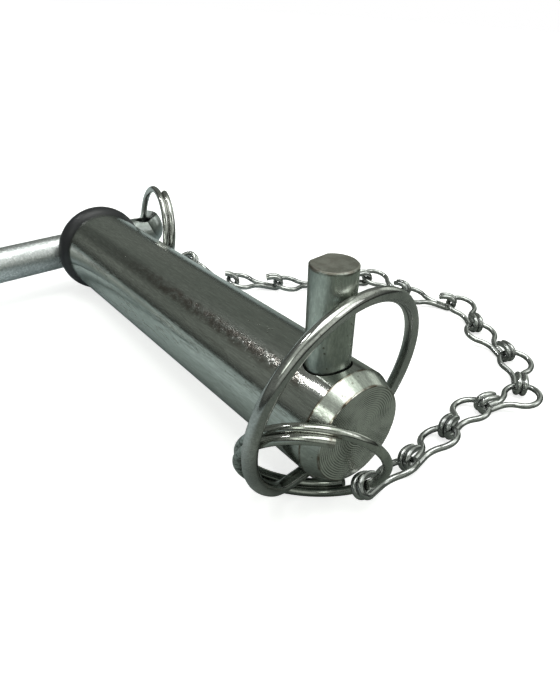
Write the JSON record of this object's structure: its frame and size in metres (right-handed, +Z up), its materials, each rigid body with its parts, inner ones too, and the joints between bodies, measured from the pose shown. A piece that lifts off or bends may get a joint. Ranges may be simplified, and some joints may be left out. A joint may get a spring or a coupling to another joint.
{
  "type": "hitch pin",
  "caption": "Hitch pin: thick zinc-plated shaft with a cross handle, a rubber ring, a linch pin with a hinged wire ring at the nose, and a wire chain on split rings.",
  "frame": {"origin": "on the shaft's axis at the shoulder, the front edge of the rubber ring", "axes": "+X along the shaft towards its nose, +Z up along the linch pin, +Y away from the grip"},
  "size_m": [0.1459, 0.189, 0.0548],
  "materials": {
    "shaft_zinc": "dull zinc plate with long turning and handling streaks",
    "handle_zinc": "bright coarse zinc plate",
    "black_rubber": "satin",
    "linch_zinc": "satin zinc plate",
    "ring_wire": "glossy zinc plate with small scuffs",
    "chain_wire": "glossy zinc plate"
  },
  "bodies": {
    "pin": {"shaft": "shaft_zinc", "handle": "handle_zinc", "rubber_ring": "black_rubber"},
    "linch_pin": {"linch_pin": "linch_zinc"},
    "linch_ring": {"linch_ring": "ring_wire"},
    "front_split_ring": {"front_split_ring": "ring_wire"},
    "rear_split_ring": {"rear_split_ring": "ring_wire"},
    "chain_link_1": {"chain_link_1": "chain_wire"},
    "chain_link_2": {"chain_link_2": "chain_wire"},
    "chain_link_3": {"chain_link_3": "chain_wire"},
    "chain_link_4": {"chain_link_4": "chain_wire"},
    "chain_link_5": {"chain_link_5": "chain_wire"},
    "chain_link_6": {"chain_link_6": "chain_wire"},
    "chain_link_7": {"chain_link_7": "chain_wire"},
    "chain_link_8": {"chain_link_8": "chain_wire"},
    "chain_link_9": {"chain_link_9": "chain_wire"},
    "chain_link_10": {"chain_link_10": "chain_wire"},
    "chain_link_11": {"chain_link_11": "chain_wire"},
    "chain_link_12": {"chain_link_12": "chain_wire"},
    "chain_link_13": {"chain_link_13": "chain_wire"},
    "chain_link_14": {"chain_link_14": "chain_wire"}
  },
  "joints": [
    {"name": "linch_pin_slide", "type": "slide", "parent": "pin", "child": "linch_pin", "axis": [0, 0, 1], "range_m": [-0.009, 0]},
    {"name": "linch_ring_hinge", "type": "hinge", "parent": "linch_pin", "child": "linch_ring", "pos_m": [0.11, 0, -0.0149], "axis": [-0.0767, 0.9971, 0], "range_deg": [0, 48], "stiffness_Nm_per_rad": 0.02, "springref_deg": -12},
    {"name": "front_split_ring_turn", "type": "hinge", "parent": "linch_ring", "child": "front_split_ring", "pos_m": [0.11654, -0.00895, -0.00563], "axis": [-0.6541, 0.6401, 0.4031], "range_deg": [-105, 0]},
    {"name": "chain_pivot_1", "type": "hinge", "parent": "front_split_ring", "child": "chain_link_1", "pos_m": [0.12195, 0.0018, -0.01464], "axis": [-0.804, -0.1667, -0.5708], "range_deg": [0, 45]},
    {"name": "chain_pivot_2", "type": "hinge", "parent": "chain_link_1", "child": "chain_link_2", "pos_m": [0.12102, 0.01866, -0.01749], "axis": [0.9117, 0.0786, 0.4033], "range_deg": [-45, 0]},
    {"name": "chain_pivot_3", "type": "hinge", "parent": "chain_link_2", "child": "chain_link_3", "pos_m": [0.11954, 0.03573, -0.01771], "axis": [-0.9693, -0.1338, -0.2062], "range_deg": [0, 66]},
    {"name": "chain_pivot_4", "type": "hinge", "parent": "chain_link_3", "child": "chain_link_4", "pos_m": [0.11954, 0.05247, -0.01801], "axis": [0.9438, -0.3286, 0.0352], "range_deg": [-45, 45]},
    {"name": "chain_pivot_5", "type": "hinge", "parent": "chain_link_4", "child": "chain_link_5", "pos_m": [0.12087, 0.06803, -0.01818], "axis": [-0.8, -0.5985, 0.0432], "range_deg": [-45, 45]},
    {"name": "chain_pivot_6", "type": "hinge", "parent": "chain_link_5", "child": "chain_link_6", "pos_m": [0.10901, 0.07957, -0.01754], "axis": [0.3338, 0.9425, -0.018], "range_deg": [-45, 45]},
    {"name": "chain_pivot_7", "type": "hinge", "parent": "chain_link_6", "child": "chain_link_7", "pos_m": [0.09337, 0.08629, -0.0167], "axis": [-0.5444, -0.8383, 0.0294], "range_deg": [-45, 45]},
    {"name": "chain_pivot_8", "type": "hinge", "parent": "chain_link_7", "child": "chain_link_8", "pos_m": [0.07882, 0.09084, -0.01591], "axis": [-0.477, 0.8785, 0.0258], "range_deg": [0, 6.5]},
    {"name": "chain_pivot_9", "type": "hinge", "parent": "chain_link_8", "child": "chain_link_9", "pos_m": [0.06324, 0.08445, -0.01507], "axis": [0.0941, -0.9955, -0.0051], "range_deg": [-30, 30]},
    {"name": "chain_pivot_10", "type": "hinge", "parent": "chain_link_9", "child": "chain_link_10", "pos_m": [0.04877, 0.07907, -0.01429], "axis": [-0.8947, 0.4441, 0.0483], "range_deg": [-45, 45]},
    {"name": "chain_pivot_11", "type": "hinge", "parent": "chain_link_10", "child": "chain_link_11", "pos_m": [0.04109, 0.06376, -0.01387], "axis": [0.886, -0.4612, -0.0478], "range_deg": [-45, 45]},
    {"name": "chain_pivot_12", "type": "hinge", "parent": "chain_link_11", "child": "chain_link_12", "pos_m": [0.03253, 0.04897, -0.01341], "axis": [-0.7968, 0.6026, 0.043], "range_deg": [-45, 45]},
    {"name": "rear_split_ring_swing", "type": "hinge", "parent": "pin", "child": "rear_split_ring", "pos_m": [-0.0108, 0.0205, -0.0007], "axis": [0, 0, 1], "range_deg": [0, 90]},
    {"name": "chain_pivot_15", "type": "hinge", "parent": "rear_split_ring", "child": "chain_link_14", "pos_m": [0.00075, 0.017, -0.01106], "axis": [-0.9811, 0.1773, 0.0771], "range_deg": [0, 72]},
    {"name": "chain_pivot_14", "type": "hinge", "parent": "chain_link_14", "child": "chain_link_13", "pos_m": [0.012, 0.02592, -0.00595], "axis": [0.4523, -0.6672, 0.5918], "range_deg": [-103.5, 0]}
  ],
  "couplings": [
    {"joint": "chain_pivot_8", "follows": "linch_pin_slide", "rad_per_m": -12.5}
  ]
}
